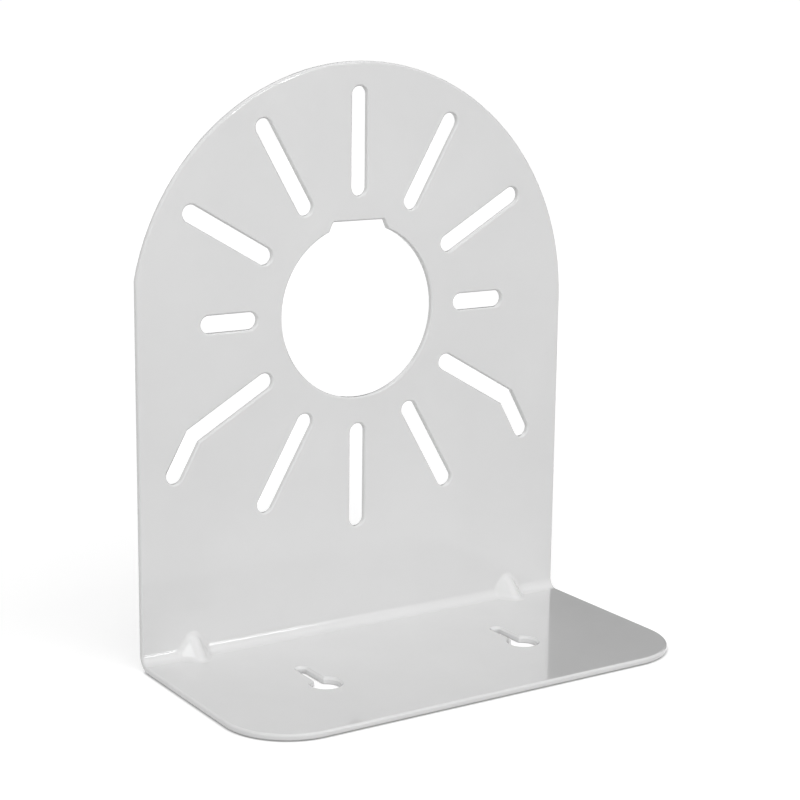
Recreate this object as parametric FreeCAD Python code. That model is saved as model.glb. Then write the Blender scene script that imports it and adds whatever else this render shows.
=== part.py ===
import FreeCAD, Part
import math
import os

from FreeCAD import Vector

# Camera wall bracket: one steel sheet, folded once and coated.
# Millimetres. +Z is up, +X runs along the fold, the flange reaches towards -Y.
# The origin is the middle of the bracket's footprint, on the underside of the flange.

# Sheet and fold
sheet = 2.0
fold_inner_radius = 3.0
fold_outer_radius = fold_inner_radius + sheet
edge_radius = 0.75
opening_break = 0.4
keyhole_break = 0.7

# Outline
width = 150.0
depth = 73.7
hole_height = 101.0
arch_drop = 1.2
shoulder_radius = 5.0
flange_corner_radius = 20.0

# The tools hit the sheet a little to the left of its middle
punch_x = -1.4
stamp_x = -0.8

# Round hole of the face plate, with a shallow notch at its top
hole_radius = 26.5
notch_top_half_width = 8.9
notch_top_rise = 27.4
notch_flare_angle = 24.0
notch_corner_radius = 0.8

# Screw slots that fan out from the hole, one each hour of a clock face
slot_width = 5.2
slot_count = 12
slot_inner_radius = 37.4
slot_outer_radius = 64.7
side_slot_outer_radius = 50.6
side_slot_angles = (0.0, 180.0)
elbow_slot_angles = (210.0, 330.0)
elbow_length = 12.7
elbow_angle = -61.0

# Keyholes of the flange
keyhole_spacing = 70.0
keyhole_round_radius = 4.4
keyhole_slot_width = 3.0
keyhole_round_setback = 31.4
keyhole_travel = 13.8

# Stamped gussets across the fold
gusset_spacing = 115.0
gusset_leg = 6.9
gusset_half_width = 6.0
gusset_crest_radius = 2.5
gusset_dent_radius = 0.7
gusset_skin = 1.8
gusset_blend = 2.2

# Tolerances of the tests that pick faces and edges
same_place = 1e-6
aligned = 0.999
sharp_turn = 60.0

# Planes and sizes that the values above fix
back_y = depth / 2
face_y = back_y - sheet
front_y = -depth / 2
floor_z = sheet
side_x = width / 2
arch_z = hole_height - arch_drop
arch_radius = side_x + abs(stamp_x)
top_z = arch_z + arch_radius


def prism(wire, direction):
    """Solid swept from a closed flat wire along a vector."""
    return Part.Face(wire).extrude(direction)


def arc(start, middle, end):
    return Part.Arc(start, middle, end).toShape()


def line(start, end):
    return Part.LineSegment(start, end).toShape()


def folded_sheet():
    """The L-shaped section, swept along the fold."""
    x = -side_x
    centre_y = face_y - fold_inner_radius
    centre_z = floor_z + fold_inner_radius
    slant = math.sqrt(0.5)
    outer_top = Vector(x, back_y, top_z + sheet)
    outer_turn = Vector(x, back_y, centre_z)
    outer_mid = Vector(x, centre_y + fold_outer_radius * slant, centre_z - fold_outer_radius * slant)
    outer_flat = Vector(x, centre_y, 0)
    outer_tip = Vector(x, front_y - sheet, 0)
    inner_tip = Vector(x, front_y - sheet, floor_z)
    inner_flat = Vector(x, centre_y, floor_z)
    inner_mid = Vector(x, centre_y + fold_inner_radius * slant, centre_z - fold_inner_radius * slant)
    inner_turn = Vector(x, face_y, centre_z)
    inner_top = Vector(x, face_y, top_z + sheet)
    section = Part.Wire([
        line(outer_top, outer_turn),
        arc(outer_turn, outer_mid, outer_flat),
        line(outer_flat, outer_tip),
        line(outer_tip, inner_tip),
        line(inner_tip, inner_flat),
        arc(inner_flat, inner_mid, inner_turn),
        line(inner_turn, inner_top),
        line(inner_top, outer_top),
    ])
    return prism(section, Vector(width, 0, 0))


def arch_outline():
    """Front view of the arch, which reaches the farther side of the sheet."""
    y = front_y - 2 * sheet
    low_left = Vector(stamp_x - arch_radius, y, -sheet)
    low_right = Vector(stamp_x + arch_radius, y, -sheet)
    right = Vector(stamp_x + arch_radius, y, arch_z)
    left = Vector(stamp_x - arch_radius, y, arch_z)
    wire = Part.Wire([
        line(low_left, low_right),
        line(low_right, right),
        arc(right, Vector(stamp_x, y, top_z), left),
        line(left, low_left),
    ])
    return prism(wire, Vector(0, depth + 4 * sheet, 0))


def shoulder_edges(shape):
    """Edges through the sheet where the arch is cut off by the nearer side."""
    found = []
    for edge in shape.Edges:
        ends = [v.Point for v in edge.Vertexes]
        if all(abs(abs(p.x) - side_x) < same_place and p.z > arch_z + same_place for p in ends):
            found.append(edge)
    return found


def flange_outline():
    """Top view of the bracket: a rectangle with two rounded front corners."""
    z = -sheet
    r = flange_corner_radius
    slant = r * (1 - math.sqrt(0.5))
    rear_right = Vector(side_x, back_y + sheet, z)
    rear_left = Vector(-side_x, back_y + sheet, z)
    turn_right = Vector(side_x, front_y + r, z)
    mid_right = Vector(side_x - slant, front_y + slant, z)
    flat_right = Vector(side_x - r, front_y, z)
    flat_left = Vector(-side_x + r, front_y, z)
    mid_left = Vector(-side_x + slant, front_y + slant, z)
    turn_left = Vector(-side_x, front_y + r, z)
    wire = Part.Wire([
        line(rear_left, rear_right),
        line(rear_right, turn_right),
        arc(turn_right, mid_right, flat_right),
        line(flat_right, flat_left),
        arc(flat_left, mid_left, turn_left),
        line(turn_left, rear_left),
    ])
    return prism(wire, Vector(0, 0, top_z + 3 * sheet))


def roof_section(foot_half_width, crest_height, crest_radius, base):
    """Corners of a roof shape with a rounded crest, as (across, up) pairs.

    The slopes pass the foot half width at height 0 and run on down to the base."""
    rise = crest_height - crest_radius
    reach = math.hypot(foot_half_width, rise)
    angle = math.pi - math.atan2(rise, foot_half_width) - math.asin(crest_radius / reach)
    run = math.sqrt(reach ** 2 - crest_radius ** 2)
    touch = (foot_half_width + run * math.cos(angle), run * math.sin(angle))
    foot = (foot_half_width + base * math.cos(angle) / math.sin(angle), base)
    return touch, foot


def roof_prism(x, foot_half_width, crest_height, crest_radius, base):
    """The roof shape swept along the slant that joins the plate and the flange."""
    touch, foot = roof_section(foot_half_width, crest_height, crest_radius, base)
    reach = 3 * gusset_leg
    corner = Vector(x, face_y, floor_z)
    out = Vector(0, -1, 1).normalize()
    along = Vector(0, 1, 1).normalize()
    start = corner - along * reach

    def place(across, up):
        return start + Vector(across, 0, 0) + out * up

    wire = Part.Wire([
        line(place(-foot[0], foot[1]), place(foot[0], foot[1])),
        line(place(foot[0], foot[1]), place(touch[0], touch[1])),
        arc(place(touch[0], touch[1]), place(0, crest_height), place(-touch[0], touch[1])),
        line(place(-touch[0], touch[1]), place(-foot[0], foot[1])),
    ])
    return prism(wire, along * (2 * reach))


def gusset_ridge(x):
    """Raised side of a gusset, in the inner angle of the fold."""
    crest_height = gusset_leg * math.sqrt(0.5)
    ridge = roof_prism(x, gusset_half_width, crest_height, gusset_crest_radius, -sheet)
    sunk = sheet / 4
    room = Part.makeBox(width, depth, top_z, Vector(-side_x, face_y + sunk - depth, floor_z - sunk))
    return ridge.common(room)


def gusset_dent(x):
    """Hollow side of the same gusset, pressed in from outside the fold."""
    crest_height = gusset_leg * math.sqrt(0.5)
    slope = math.atan2(crest_height, gusset_half_width)
    foot = gusset_half_width - gusset_skin / math.sin(slope)
    height = crest_height - gusset_skin
    return roof_prism(x, foot, height, gusset_dent_radius, -3 * sheet)


def slot_cutter(points, half_width, place, direction):
    """Slot with round ends along two or three points, mitred where it turns."""
    count = len(points)
    headings = []
    for i in range(count - 1):
        step = (points[i + 1][0] - points[i][0], points[i + 1][1] - points[i][1])
        length = math.hypot(step[0], step[1])
        headings.append((step[0] / length, step[1] / length))
    left = []
    right = []
    for i in range(count):
        before = headings[max(i - 1, 0)]
        after = headings[min(i, count - 2)]
        normal = (-(before[1] + after[1]), before[0] + after[0])
        scale = half_width / (normal[1] * before[0] - normal[0] * before[1])
        left.append((points[i][0] + normal[0] * scale, points[i][1] + normal[1] * scale))
        right.append((points[i][0] - normal[0] * scale, points[i][1] - normal[1] * scale))
    first, last = headings[0], headings[-1]
    tail = (points[0][0] - first[0] * half_width, points[0][1] - first[1] * half_width)
    nose = (points[-1][0] + last[0] * half_width, points[-1][1] + last[1] * half_width)
    edges = []
    for i in range(count - 1):
        edges.append(line(place(*left[i]), place(*left[i + 1])))
    edges.append(arc(place(*left[-1]), place(*nose), place(*right[-1])))
    for i in range(count - 1, 0, -1):
        edges.append(line(place(*right[i]), place(*right[i - 1])))
    edges.append(arc(place(*right[0]), place(*tail), place(*left[0])))
    return prism(Part.Wire(edges), direction)


def on_plate(x, z):
    """A point just in front of the face plate, measured from the hole's centre."""
    return Vector(punch_x + x, face_y - sheet, hole_height + z)


def on_flange(x, y):
    """A point just under the flange."""
    return Vector(x, y, -sheet)


def clock_point(radius, degrees):
    """A point on the face plate, by its distance and its angle from 3 o'clock."""
    turn = math.radians(degrees)
    return (radius * math.cos(turn), radius * math.sin(turn))


def fan_slots():
    """The twelve slots; two are short and two have an elbow."""
    through = Vector(0, 3 * sheet, 0)
    step = 360.0 / slot_count
    cutters = []
    for i in range(slot_count):
        degrees = i * step
        inner = clock_point(slot_inner_radius, degrees)
        outer = clock_point(slot_outer_radius, degrees)
        path = [inner, outer]
        if degrees in side_slot_angles:
            path = [inner, clock_point(side_slot_outer_radius, degrees)]
        if degrees in elbow_slot_angles:
            side = 1.0 if outer[0] > 0 else -1.0
            bend = clock_point(elbow_length, elbow_angle)
            path.append((outer[0] + side * bend[0], outer[1] + bend[1]))
        cutters.append(slot_cutter(path, slot_width / 2, on_plate, through))
    return cutters


def centre_hole():
    """Round hole with the flared notch above it."""
    through = Vector(0, 3 * sheet, 0)
    hole = Part.makeCylinder(hole_radius, 3 * sheet, on_plate(0, 0), Vector(0, 1, 0))
    foot = notch_top_half_width + notch_top_rise * math.tan(math.radians(notch_flare_angle))
    corners = [
        on_plate(-notch_top_half_width, notch_top_rise),
        on_plate(notch_top_half_width, notch_top_rise),
        on_plate(foot, 0),
        on_plate(-foot, 0),
    ]
    notch = prism(Part.makePolygon(corners + corners[:1]), through)
    upper = [e for e in notch.Edges if is_notch_corner(e)]
    return hole.fuse(notch.makeFillet(notch_corner_radius, upper))


def is_notch_corner(edge):
    """True for the two edges that run through the sheet at the notch's top."""
    ends = [v.Point for v in edge.Vertexes]
    level = hole_height + notch_top_rise
    return all(abs(p.z - level) < same_place for p in ends) and abs(ends[0].x - ends[1].x) < same_place


def keyholes():
    """Round entry towards the flange's front edge, narrow slot towards the fold."""
    through = Vector(0, 0, 3 * sheet)
    round_y = front_y + keyhole_round_setback
    cutters = []
    for side in (-1, 1):
        x = punch_x + side * keyhole_spacing / 2
        entry = Part.makeCylinder(keyhole_round_radius, 3 * sheet, on_flange(x, round_y))
        path = [(x, round_y), (x, round_y + keyhole_travel)]
        neck = slot_cutter(path, keyhole_slot_width / 2, on_flange, through)
        cutters.append(entry.fuse(neck))
    return cutters


def normal_near(face, point):
    u, v = face.Surface.parameter(point)
    return face.normalAt(u, v)


def is_skin(face):
    """True for the broad faces of the sheet and for both faces of the fold."""
    surface = face.Surface
    if isinstance(surface, Part.Cylinder):
        return abs(surface.Axis.x) > aligned
    if not isinstance(surface, Part.Plane):
        return False
    axis = surface.Axis
    spot = face.CenterOfMass
    flat = abs(axis.z) > aligned and min(abs(spot.z), abs(spot.z - floor_z)) < same_place
    upright = abs(axis.y) > aligned and min(abs(spot.y - face_y), abs(spot.y - back_y)) < same_place
    return flat or upright


def rim_edges(shape):
    """Edges where a broad face of the sheet turns sharply into a cut edge."""
    found = []
    for edge in shape.Edges:
        faces = shape.ancestorsOfType(edge, Part.Face)
        if len(faces) != 2 or is_skin(faces[0]) == is_skin(faces[1]):
            continue
        middle = edge.valueAt((edge.FirstParameter + edge.LastParameter) / 2)
        normals = [normal_near(face, middle) for face in faces]
        if normals[0].getAngle(normals[1]) > math.radians(sharp_turn):
            found.append(edge)
    return found


def blend_edges(shape, x, inside):
    """Edges round the foot of a gusset, on its raised or its hollow side."""
    reach = 2 * gusset_half_width
    found = []
    for edge in shape.Edges:
        faces = shape.ancestorsOfType(edge, Part.Face)
        if len(faces) != 2 or is_skin(faces[0]) == is_skin(faces[1]):
            continue
        middle = edge.valueAt((edge.FirstParameter + edge.LastParameter) / 2)
        near = abs(middle.x - x) < reach and middle.z < 2 * reach and middle.y > face_y - 2 * reach
        skin = faces[0] if is_skin(faces[0]) else faces[1]
        normal = normal_near(skin, middle)
        faces_in = normal.z - normal.y > 0
        if near and faces_in == inside:
            found.append(edge)
    return found


def build_bracket():
    body = folded_sheet().common(arch_outline())
    body = body.makeFillet(shoulder_radius, shoulder_edges(body)).common(flange_outline())
    body = body.makeFillet(edge_radius, rim_edges(body))
    for side in (-1, 1):
        x = stamp_x + side * gusset_spacing / 2
        body = body.fuse(gusset_ridge(x)).removeSplitter()
        body = body.makeFillet(gusset_blend, blend_edges(body, x, True))
        body = body.cut(gusset_dent(x))
        body = body.makeFillet(gusset_blend, blend_edges(body, x, False))
    body = body.cut([centre_hole()] + fan_slots())
    body = body.makeChamfer(opening_break, rim_edges(body))
    body = body.cut(keyholes())
    upper = [edge for edge in rim_edges(body) if edge.CenterOfMass.z > floor_z / 2]
    return body.makeChamfer(keyhole_break, upper)


bracket = build_bracket()
if bracket.ShapeType != "Solid":
    bracket = bracket.Solids[0]
box = bracket.optimalBoundingBox()
print("bracket valid:", bracket.isValid(), "volume mm3:", round(bracket.Volume, 1))
print("size mm:", round(box.XLength, 3), round(box.YLength, 3), round(box.ZLength, 3))
print("faces:", len(bracket.Faces), "solids:", len(bracket.Solids))

os.makedirs("parts", exist_ok=True)
bracket.exportStep("parts/bracket.step")
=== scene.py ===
import math

import bpy
from mathutils import Matrix, Vector


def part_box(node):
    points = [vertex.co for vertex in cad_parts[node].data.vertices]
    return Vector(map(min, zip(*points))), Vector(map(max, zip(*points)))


# Camera wall bracket in gloss white powder coat, on a white studio floor.
# Everything is in metres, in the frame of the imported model.

# Camera: where it stands, which way it looks and how long its lens is.
CAMERA_PLACE = (-0.3037, -0.4536, 0.1960)
CAMERA_HEADING = 33.03
CAMERA_DIP = 12.02
CAMERA_ROLL = 0.70
CAMERA_LENS = 86.56
SENSOR_WIDTH = 36.0

# Powder coat: each spread is the most that its noise adds or takes away.
# Each noise has the size of its features and its detail.
COAT_GREY = 0.72
COAT_SPREAD = 0.012
COAT_NOISE = (0.03, 3)
COAT_ROUGHNESS = 0.16
COAT_ROUGHNESS_SPREAD = 0.04
COAT_ROUGHNESS_NOISE = (0.006, 4)
GLAZE = 1.0
GLAZE_ROUGHNESS = 0.05
PEEL_NOISE = (0.0016, 2)
PEEL_DEPTH = 0.0000045

# Nearly all of Blender's noise lies between these two values.
NOISE_RANGE = (0.3, 0.7)

# Rounding of the bevelled rims
WELD_DISTANCE = 0.000001
FLAT_ANGLE = 0.5
RIM_ANGLE = 30.0
RIM_ROUNDING = 0.00014
RIM_SEGMENTS = 2

# Floor: a pale grey surface, lifted to white for the rays that show it as a background.
# The lift grows from under the object to the far distance, where the lamps hardly reach; ambient
# occlusion darkens it near the object as painted contact shade.
FLOOR_SIZE = 80.0
FLOOR_DROP = 0.00005
FLOOR_GREY = 0.45
FLOOR_SPREAD = 0.005
FLOOR_NOISE = (0.2, 2)
FLOOR_LIFT_NEAR = 0.68
FLOOR_LIFT_FAR = 0.95
FLOOR_FAR = 2.5
# Reach of the painted contact shade that darkens the floor's white lift under and beside the
# object
PAINTED_CONTACT_SHADE_REACH = 0.0009

# Lamps and world
WORLD_LEVEL = 0.15
LAMP_DISTANCE = 1.8
# Each lamp: its name, its heading from the front towards the right and its height angle,
# both in degrees, its width and height in metres, its power and what it does: it lights
# the object, or shows in the gloss, or both.
LAMPS = (
    ("strip", 24.4, 6, 0.28, 0.12, 1.3, "shows"),
    ("strip_end", 31, 6, 0.14, 0.12, 0.1, "shows"),
    ("spot", -88.2, 30.9, 0.1, 0.1, 0.08, "shows"),
    ("left_high", -74, 51, 0.5, 0.5, 1.5, "lights"),
    ("right_low", 60, 20, 1.2, 0.6, 4.0, "lights"),
    ("front_high", 5, 50, 2.0, 1.2, 22.0, "lights"),
    ("left_low", -55, 20, 1.2, 0.8, 12.0, "lights"),
    ("rear", 170, 40, 1.6, 1.2, 3.0, "both"),
    ("rear_low", 180, 5, 1.6, 1.0, 7.0, "lights"),
)

# Dark card behind the object, from the floor up
BACK_CARD_DISTANCE = 2.0
BACK_CARD_WIDTH = 4.0
BACK_CARD_HEIGHT = 1.5
BACK_CARD_GREY = 0.03


def node(tree, kind, **values):
    """A new node with these attributes set."""
    made = tree.nodes.new(kind)
    for name, value in values.items():
        setattr(made, name, value)
    return made


def noise(tree, place, size, detail):
    """Noise whose features are about this many metres across."""
    made = node(tree, "ShaderNodeTexNoise")
    made.inputs["Scale"].default_value = 1 / size
    made.inputs["Detail"].default_value = detail
    tree.links.new(place, made.inputs["Vector"])
    return made.outputs["Fac"]


def map_range(tree, value, source, target):
    """Maps the source range to the target range, and holds what lies outside at its ends."""
    made = node(tree, "ShaderNodeMapRange")
    for name, number in zip(("From Min", "From Max", "To Min", "To Max"), source + target):
        made.inputs[name].default_value = number
    tree.links.new(value, made.inputs["Value"])
    return made.outputs["Result"]


def vary(tree, value, mean, most):
    """Turns noise into values round a mean."""
    return map_range(tree, value, NOISE_RANGE, (mean - most, mean + most))


def grey(tree, value):
    """A grey of this level."""
    made = node(tree, "ShaderNodeCombineColor")
    for channel in ("Red", "Green", "Blue"):
        tree.links.new(value, made.inputs[channel])
    return made.outputs["Color"]


def calculate(tree, operation, first, second):
    """The result of a maths node on two outputs."""
    made = node(tree, "ShaderNodeMath", operation=operation)
    tree.links.new(first, made.inputs[0])
    tree.links.new(second, made.inputs[1])
    return made.outputs[0]


def new_material(name):
    """A material, its node tree and its shader."""
    material = bpy.data.materials.new(name)
    material.use_nodes = True
    tree = material.node_tree
    return material, tree, tree.nodes["Principled BSDF"]


def powder_coat():
    """Gloss white powder coat with a faint orange peel."""
    material, tree, shader = new_material("powder_coat")
    place = node(tree, "ShaderNodeTexCoord").outputs["Object"]

    shade = vary(tree, noise(tree, place, *COAT_NOISE), COAT_GREY, COAT_SPREAD)
    tree.links.new(grey(tree, shade), shader.inputs["Base Color"])

    patches = noise(tree, place, *COAT_ROUGHNESS_NOISE)
    rough = vary(tree, patches, COAT_ROUGHNESS, COAT_ROUGHNESS_SPREAD)
    tree.links.new(rough, shader.inputs["Roughness"])
    shader.inputs["Coat Weight"].default_value = GLAZE
    shader.inputs["Coat Roughness"].default_value = GLAZE_ROUGHNESS

    peel = node(tree, "ShaderNodeBump")
    peel.inputs["Distance"].default_value = PEEL_DEPTH
    tree.links.new(noise(tree, place, *PEEL_NOISE), peel.inputs["Height"])
    for socket in ("Normal", "Coat Normal"):
        tree.links.new(peel.outputs["Normal"], shader.inputs[socket])
    return material


def seen_rays(tree):
    """1 for rays that show the background: straight, mirrored or through glass."""
    path = node(tree, "ShaderNodeLightPath").outputs
    seen = calculate(tree, "MAXIMUM", path["Is Camera Ray"], path["Is Glossy Ray"])
    return calculate(tree, "MAXIMUM", seen, path["Is Transmission Ray"])


def floor_material():
    """Pale floor that takes the object's shadow from the lamps, with painted contact shade in
    its white lift, and is white round it.
    """
    material, tree, shader = new_material("studio_floor")
    place = node(tree, "ShaderNodeTexCoord").outputs["Object"]
    shade = vary(tree, noise(tree, place, *FLOOR_NOISE), FLOOR_GREY, FLOOR_SPREAD)
    tree.links.new(grey(tree, shade), shader.inputs["Base Color"])
    make_dull(shader)

    distance = node(tree, "ShaderNodeVectorMath", operation="LENGTH")
    tree.links.new(place, distance.inputs[0])
    lifts = (FLOOR_LIFT_NEAR, FLOOR_LIFT_FAR)
    level = map_range(tree, distance.outputs["Value"], (0.0, FLOOR_FAR), lifts)
    # Painted contact shade: ambient occlusion darkens the lift near the object, so the floor and
    # the rims that mirror it go dark along the contact.
    painted_contact_shade = node(tree, "ShaderNodeAmbientOcclusion")
    painted_contact_shade.inputs["Distance"].default_value = PAINTED_CONTACT_SHADE_REACH
    lift_with_painted_shade = calculate(tree, "MULTIPLY", level, painted_contact_shade.outputs["AO"])
    lift = node(tree, "ShaderNodeEmission")
    strength = calculate(tree, "MULTIPLY", lift_with_painted_shade, seen_rays(tree))
    tree.links.new(strength, lift.inputs["Strength"])
    both = node(tree, "ShaderNodeAddShader")
    tree.links.new(shader.outputs[0], both.inputs[0])
    tree.links.new(lift.outputs[0], both.inputs[1])
    tree.links.new(both.outputs[0], tree.nodes["Material Output"].inputs["Surface"])
    return material


def make_dull(shader):
    """Takes all gloss off a shader."""
    shader.inputs["Roughness"].default_value = 1.0
    shader.inputs["Specular IOR Level"].default_value = 0.0


def card_material(level):
    """Dull grey card."""
    material, _, shader = new_material("studio_card")
    shader.inputs["Base Color"].default_value = (level, level, level, 1)
    make_dull(shader)
    return material


def plane(name, width, height, matrix, material):
    """A flat stage piece, centred on the matrix and facing its +Z."""
    x = width / 2
    y = height / 2
    mesh = bpy.data.meshes.new(name)
    mesh.from_pydata([(-x, -y, 0), (x, -y, 0), (x, y, 0), (-x, y, 0)], [], [(0, 1, 2, 3)])
    mesh.materials.append(material)
    made = bpy.data.objects.new(name, mesh)
    made.matrix_world = matrix
    bpy.context.scene.collection.objects.link(made)
    return made


def facing(place, target):
    """Matrix at a place whose +Z points at the target."""
    turn = (Vector(target) - place).to_track_quat("Z", "Y").to_matrix().to_4x4()
    return Matrix.Translation(place) @ turn


def make_floor():
    """White floor just under the object."""
    place = Matrix.Translation((0, 0, -FLOOR_DROP))
    plane("floor", FLOOR_SIZE, FLOOR_SIZE, place, floor_material())


def make_back_card():
    """Dark card above the horizon, behind the object: the flange mirrors it beside the plate."""
    heading = math.radians(CAMERA_HEADING)
    away = Vector((math.sin(heading), math.cos(heading), 0)) * BACK_CARD_DISTANCE
    centre = away + Vector((0, 0, BACK_CARD_HEIGHT / 2))
    place = facing(centre, (0, 0, centre.z))
    material = card_material(BACK_CARD_GREY)
    card = plane("back_card", BACK_CARD_WIDTH, BACK_CARD_HEIGHT, place, material)
    card.visible_camera = False
    card.visible_diffuse = False
    card.visible_shadow = False


def area_light(name, heading, height, width, tall, power, task):
    """Oblong soft lamp round the object, aimed at its middle."""
    low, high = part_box("bracket")
    middle = (low + high) / 2
    heading = math.radians(heading)
    height = math.radians(height)
    level = math.cos(height)
    out = Vector((math.sin(heading) * level, -math.cos(heading) * level, math.sin(height)))
    light = bpy.data.lights.new(name, "AREA")
    light.shape = "RECTANGLE"
    light.size = width
    light.size_y = tall
    light.energy = power
    made = bpy.data.objects.new(name, light)
    turn = (-out).to_track_quat("-Z", "Y").to_matrix().to_4x4()
    made.matrix_world = Matrix.Translation(middle + out * LAMP_DISTANCE) @ turn
    made.visible_glossy = task != "lights"
    if task == "shows":
        made.visible_diffuse = False
        keep_direct(light)
    bpy.context.scene.collection.objects.link(made)


def keep_direct(light):
    """Puts the lamp out for light that has already bounced off a dull surface."""
    light.use_nodes = True
    tree = light.node_tree
    bounces = node(tree, "ShaderNodeLightPath").outputs["Diffuse Depth"]
    direct = node(tree, "ShaderNodeMath", operation="LESS_THAN")
    direct.inputs[1].default_value = 1
    tree.links.new(bounces, direct.inputs[0])
    tree.links.new(direct.outputs[0], tree.nodes["Emission"].inputs["Strength"])


def make_world():
    """Even light from all round, with plain white for the rays that show the background."""
    world = bpy.data.worlds.new("studio")
    bpy.context.scene.world = world
    world.use_nodes = True
    tree = world.node_tree
    ambient = tree.nodes["Background"]
    ambient.inputs["Color"].default_value = (1, 1, 1, 1)
    ambient.inputs["Strength"].default_value = WORLD_LEVEL
    white = node(tree, "ShaderNodeBackground")
    white.inputs["Color"].default_value = (1, 1, 1, 1)
    choose = node(tree, "ShaderNodeMixShader")
    tree.links.new(seen_rays(tree), choose.inputs[0])
    tree.links.new(ambient.outputs[0], choose.inputs[1])
    tree.links.new(white.outputs[0], choose.inputs[2])
    tree.links.new(choose.outputs[0], tree.nodes["World Output"].inputs["Surface"])


def make_camera():
    """The camera that took the photograph, as fitted to it."""
    data = bpy.data.cameras.new("camera")
    data.lens = CAMERA_LENS
    data.sensor_width = SENSOR_WIDTH
    camera = bpy.data.objects.new("camera", data)
    heading = Matrix.Rotation(-math.radians(CAMERA_HEADING), 4, "Z")
    tilt = Matrix.Rotation(math.radians(90 - CAMERA_DIP), 4, "X")
    roll = Matrix.Rotation(math.radians(CAMERA_ROLL), 4, "Z")
    camera.matrix_world = Matrix.Translation(CAMERA_PLACE) @ heading @ tilt @ roll
    bpy.context.scene.collection.objects.link(camera)
    bpy.context.scene.camera = camera


def dress_bracket(bracket):
    """Coat on the CAD mesh, with its bevelled rims rounded as paint rounds them."""
    coat = powder_coat()
    for slot in bracket.material_slots:
        slot.material = coat
    weld = bracket.modifiers.new("weld", "WELD")
    weld.merge_threshold = WELD_DISTANCE
    flat = bracket.modifiers.new("flat_faces", "DECIMATE")
    flat.decimate_type = "DISSOLVE"
    flat.angle_limit = math.radians(FLAT_ANGLE)
    rims = bracket.modifiers.new("round_rims", "BEVEL")
    rims.limit_method = "ANGLE"
    rims.angle_limit = math.radians(RIM_ANGLE)
    rims.width = RIM_ROUNDING
    rims.segments = RIM_SEGMENTS
    rims.use_clamp_overlap = False
    normals = bracket.modifiers.new("even_shading", "WEIGHTED_NORMAL")
    normals.mode = "FACE_AREA"
    normals.keep_sharp = False


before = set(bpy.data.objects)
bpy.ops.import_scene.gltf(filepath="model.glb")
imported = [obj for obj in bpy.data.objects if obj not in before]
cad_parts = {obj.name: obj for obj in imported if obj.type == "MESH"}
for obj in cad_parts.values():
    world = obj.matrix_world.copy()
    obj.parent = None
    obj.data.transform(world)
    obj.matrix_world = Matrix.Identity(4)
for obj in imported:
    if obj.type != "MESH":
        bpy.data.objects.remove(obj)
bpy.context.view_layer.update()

dress_bracket(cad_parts["bracket"])
make_floor()
make_back_card()
for lamp in LAMPS:
    area_light(*lamp)
make_world()
make_camera()
bpy.context.scene.view_settings.view_transform = "Standard"
